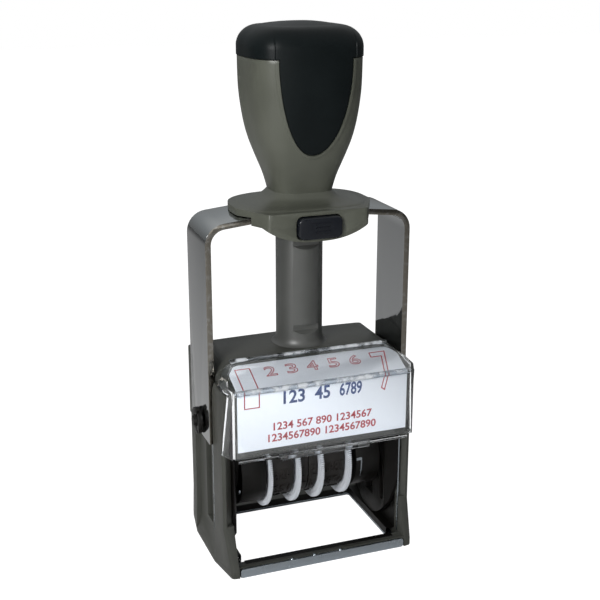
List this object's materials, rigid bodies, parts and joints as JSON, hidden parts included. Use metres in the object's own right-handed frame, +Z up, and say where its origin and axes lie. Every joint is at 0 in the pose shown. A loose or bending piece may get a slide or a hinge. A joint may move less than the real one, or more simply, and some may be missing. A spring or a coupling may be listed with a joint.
{
  "type": "self-inking date stamp",
  "caption": "Desk date stamp: pressing the grip drives a strap yoke down and flips the platen and its date bands from the ink pad to the paper.",
  "frame": {"origin": "middle of the base, on the surface it stands on", "axes": "+Z up along the grip, -Y towards the index window, +X to the right seen from the front"},
  "size_m": [0.0712, 0.046, 0.166],
  "materials": {
    "grip_moulding": "fine-grained warm grey moulding",
    "frame_moulding": "satin grey moulding",
    "black_moulding": "black moulding with a soft gloss",
    "chrome_plate": "bright chromium plate",
    "plain_steel": "plain steel",
    "clear_cover": "clear polished acrylic",
    "card_stock": "smooth white card",
    "inked_felt": "dark inked felt",
    "text_rubber": "red-brown stamp rubber",
    "band_rubber": "black moulded rubber",
    "wheel_nylon": "white nylon"
  },
  "bodies": {
    "frame": {"main_frame": "frame_moulding", "guide_column": "frame_moulding", "base_ring": "plain_steel", "guide_strip_left": "plain_steel", "guide_strip_right": "plain_steel", "cam_plate_left": "black_moulding", "cam_plate_right": "black_moulding", "index_cover": "clear_cover", "index_card": "card_stock", "return_spring": "plain_steel"},
    "handle": {"handle_grip": "grip_moulding", "handle_cap": "black_moulding", "yoke": "chrome_plate", "yoke_screw_left": "plain_steel", "yoke_screw_right": "plain_steel", "plunger_rod": "plain_steel", "pivot_shaft": "black_moulding", "pivot_hub_left": "black_moulding", "pivot_hub_right": "black_moulding"},
    "lock_button": {"lock_button": "black_moulding"},
    "ink_tray": {"ink_tray": "black_moulding", "ink_pad": "inked_felt"},
    "platen": {"platen_carrier": "black_moulding", "text_plate": "text_rubber", "band_bridge": "wheel_nylon", "wheel_axle": "plain_steel", "band_month": "band_rubber", "band_tens": "band_rubber", "band_units": "band_rubber", "band_year": "band_rubber"},
    "wheel_month": {"wheel_month": "wheel_nylon"},
    "wheel_tens": {"wheel_tens": "wheel_nylon"},
    "wheel_units": {"wheel_units": "wheel_nylon"},
    "wheel_year": {"wheel_year": "wheel_nylon"}
  },
  "joints": [
    {"name": "handle_press", "type": "slide", "parent": "frame", "child": "handle", "axis": [0, 0, -1], "range_m": [0, 0.0321], "stiffness_N_per_m": 300, "springref_m": -0.03, "deforming": ["return_spring"]},
    {"name": "platen_flip", "type": "hinge", "parent": "handle", "child": "platen", "pos_m": [0, 0, 0.0448], "axis": [1, 0, 0], "range_deg": [0, 180]},
    {"name": "lock_press", "type": "slide", "parent": "handle", "child": "lock_button", "axis": [0, 1, 0], "range_m": [0, 0.0017], "stiffness_N_per_m": 400, "springref_m": -0.001},
    {"name": "tray_slide", "type": "slide", "parent": "frame", "child": "ink_tray", "axis": [0, 1, 0], "range_m": [0, 0.036]},
    {"name": "month_turn", "type": "hinge", "parent": "platen", "child": "wheel_month", "pos_m": [0, 0, 0.0272], "axis": [1, 0, 0], "continuous": true},
    {"name": "tens_turn", "type": "hinge", "parent": "platen", "child": "wheel_tens", "pos_m": [0, 0, 0.0272], "axis": [1, 0, 0], "continuous": true},
    {"name": "units_turn", "type": "hinge", "parent": "platen", "child": "wheel_units", "pos_m": [0, 0, 0.0272], "axis": [1, 0, 0], "continuous": true},
    {"name": "year_turn", "type": "hinge", "parent": "platen", "child": "wheel_year", "pos_m": [0, 0, 0.0272], "axis": [1, 0, 0], "continuous": true}
  ],
  "couplings": [
    {"joint": "platen_flip", "follows": "handle_press", "rad_per_m": 97.869}
  ]
}
